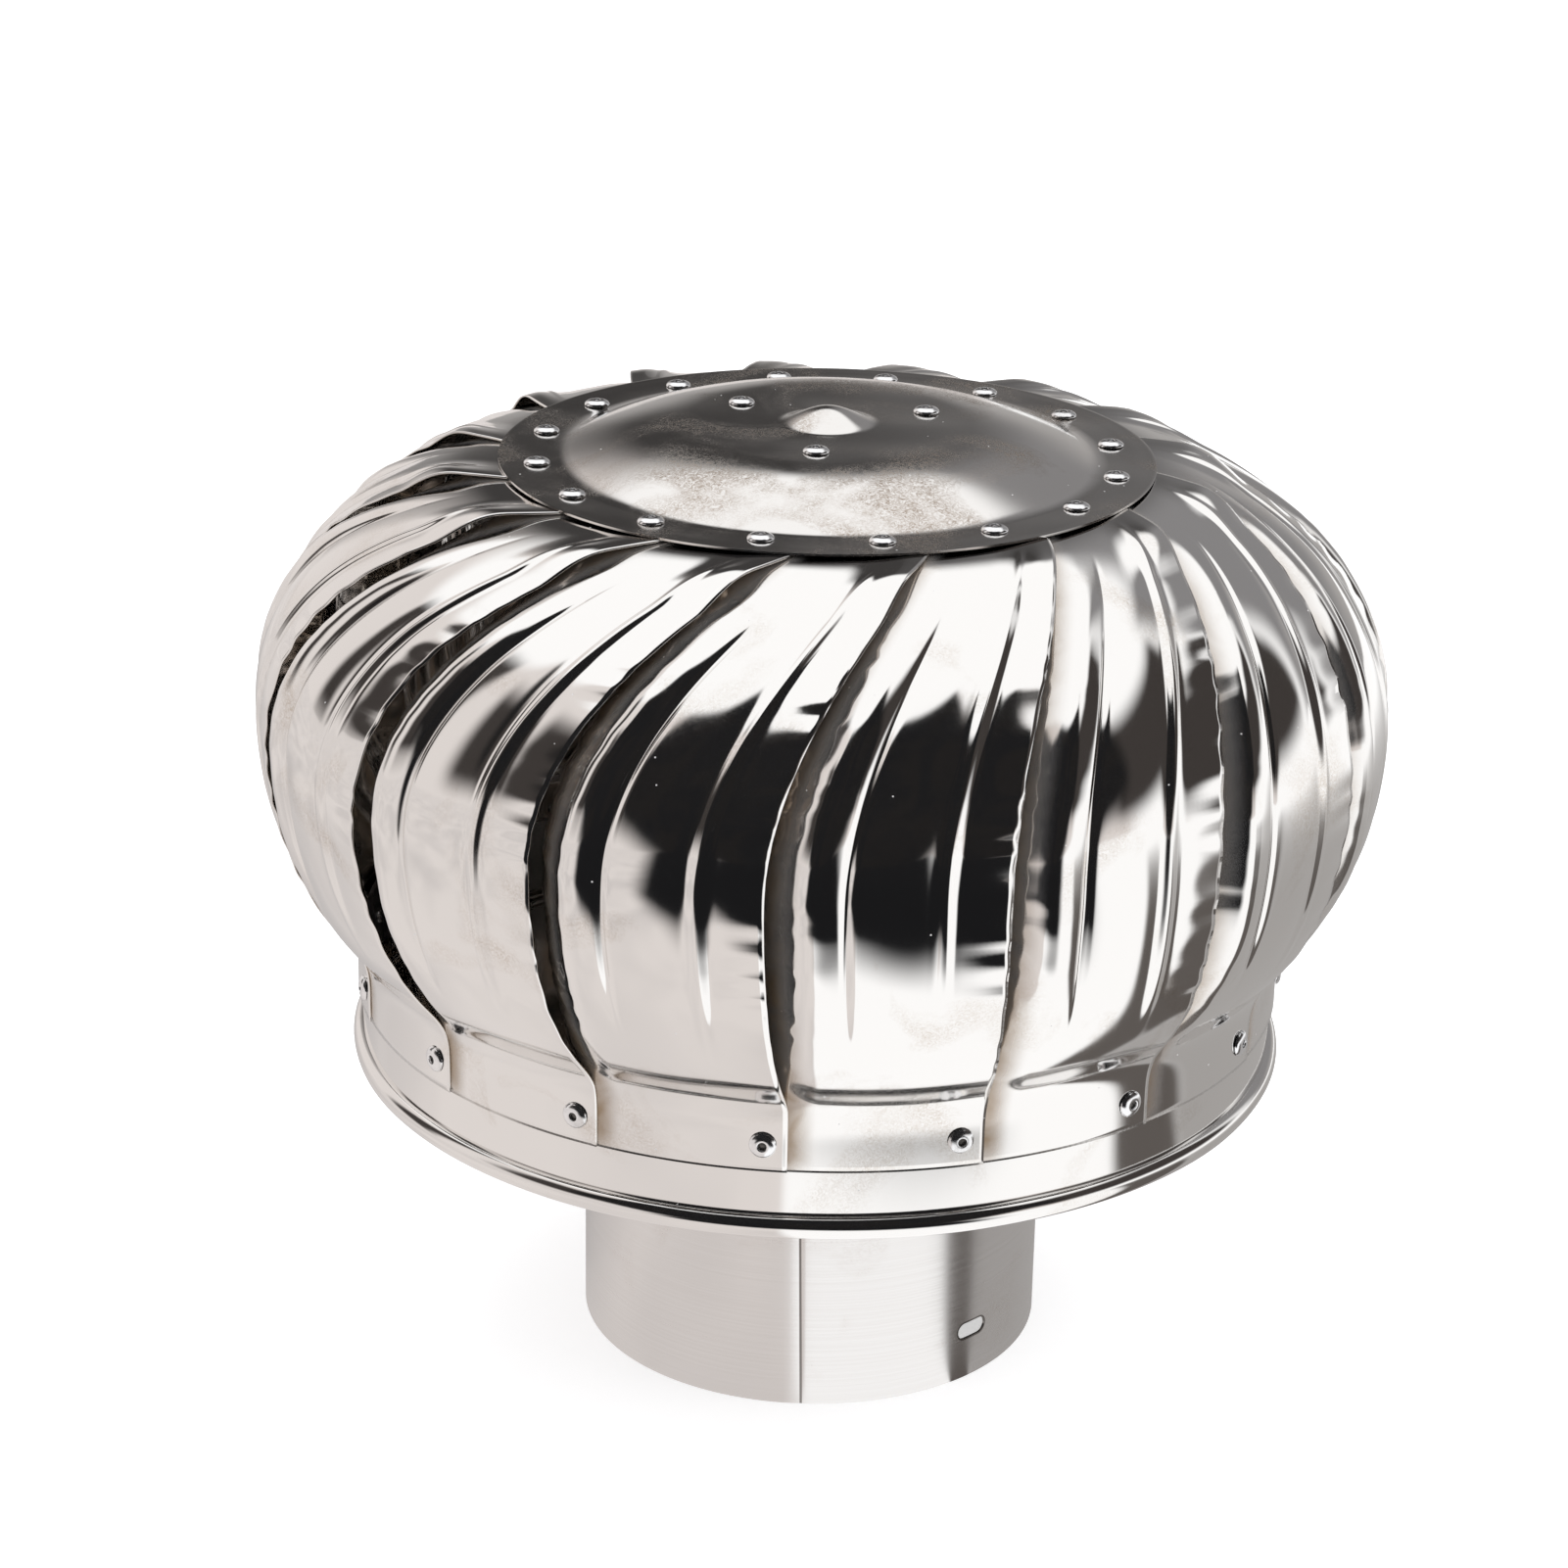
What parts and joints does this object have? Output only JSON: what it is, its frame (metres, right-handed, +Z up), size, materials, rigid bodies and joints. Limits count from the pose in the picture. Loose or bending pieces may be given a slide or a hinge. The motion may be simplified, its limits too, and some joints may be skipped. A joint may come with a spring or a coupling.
{
  "type": "roof turbine ventilator",
  "caption": "Wind-driven turbine ventilator: a rotor of curved overlapping vanes between a riveted domed cap and a beaded ring, turning on a post in a short round spigot.",
  "frame": {"origin": "centre of the base pipe's bottom edge, where the part stands", "axes": "+Z up along the rotor's axis; -Y is the side with the pipe's seam, and the first screw slot is 46 degrees to its right"},
  "size_m": [0.263, 0.263, 0.2259],
  "materials": {
    "mirror_sheet": "mirror-polished stainless sheet",
    "pipe_sheet": "bright satin stainless sheet, brushed round the pipe",
    "rivet_aluminium": "bright blind rivets",
    "bracket_steel": "plain folded steel strip",
    "plated_steel": "zinc-plated turned steel",
    "bearing_steel": "ground bearing steel"
  },
  "bodies": {
    "base": {"base_pipe": "pipe_sheet", "lower_strap": "bracket_steel", "upper_strap": "bracket_steel", "strap_rivets": "rivet_aluminium", "post": "plated_steel", "foot_washer": "plated_steel", "foot_nut": "plated_steel", "spacer_sleeve": "plated_steel", "top_washer": "plated_steel", "top_nut": "plated_steel", "lower_inner_race": "bearing_steel", "upper_inner_race": "bearing_steel"},
    "rotor": {"top_cap": "mirror_sheet", "lower_ring": "mirror_sheet", "cap_rivets": "rivet_aluminium", "dome_rivets": "rivet_aluminium", "band_rivets": "rivet_aluminium", "hub": "plated_steel", "spoke_rivets": "rivet_aluminium", "bearing_housing": "bracket_steel", "lower_outer_race": "bearing_steel", "upper_outer_race": "bearing_steel", "spoke_1": "bracket_steel", "spoke_2": "bracket_steel", "spoke_3": "bracket_steel", "spoke_4": "bracket_steel", "vane_01": "mirror_sheet", "vane_02": "mirror_sheet", "vane_03": "mirror_sheet", "vane_04": "mirror_sheet", "vane_05": "mirror_sheet", "vane_06": "mirror_sheet", "vane_07": "mirror_sheet", "vane_08": "mirror_sheet", "vane_09": "mirror_sheet", "vane_10": "mirror_sheet", "vane_11": "mirror_sheet", "vane_12": "mirror_sheet", "vane_13": "mirror_sheet", "vane_14": "mirror_sheet", "vane_15": "mirror_sheet", "vane_16": "mirror_sheet"},
    "lower_balls": {"lower_ball_ring": "bearing_steel"},
    "upper_balls": {"upper_ball_ring": "bearing_steel"}
  },
  "joints": [
    {"name": "rotor_spin", "type": "hinge", "parent": "base", "child": "rotor", "pos_m": [0, 0, 0.15], "axis": [0, 0, 1], "continuous": true},
    {"name": "lower_balls_roll", "type": "hinge", "parent": "base", "child": "lower_balls", "pos_m": [0, 0, 0.128], "axis": [0, 0, 1], "continuous": true},
    {"name": "upper_balls_roll", "type": "hinge", "parent": "base", "child": "upper_balls", "pos_m": [0, 0, 0.212], "axis": [0, 0, 1], "continuous": true}
  ],
  "couplings": [
    {"joint": "lower_balls_roll", "follows": "rotor_spin", "ratio": 0.6077},
    {"joint": "upper_balls_roll", "follows": "rotor_spin", "ratio": 0.6077}
  ]
}
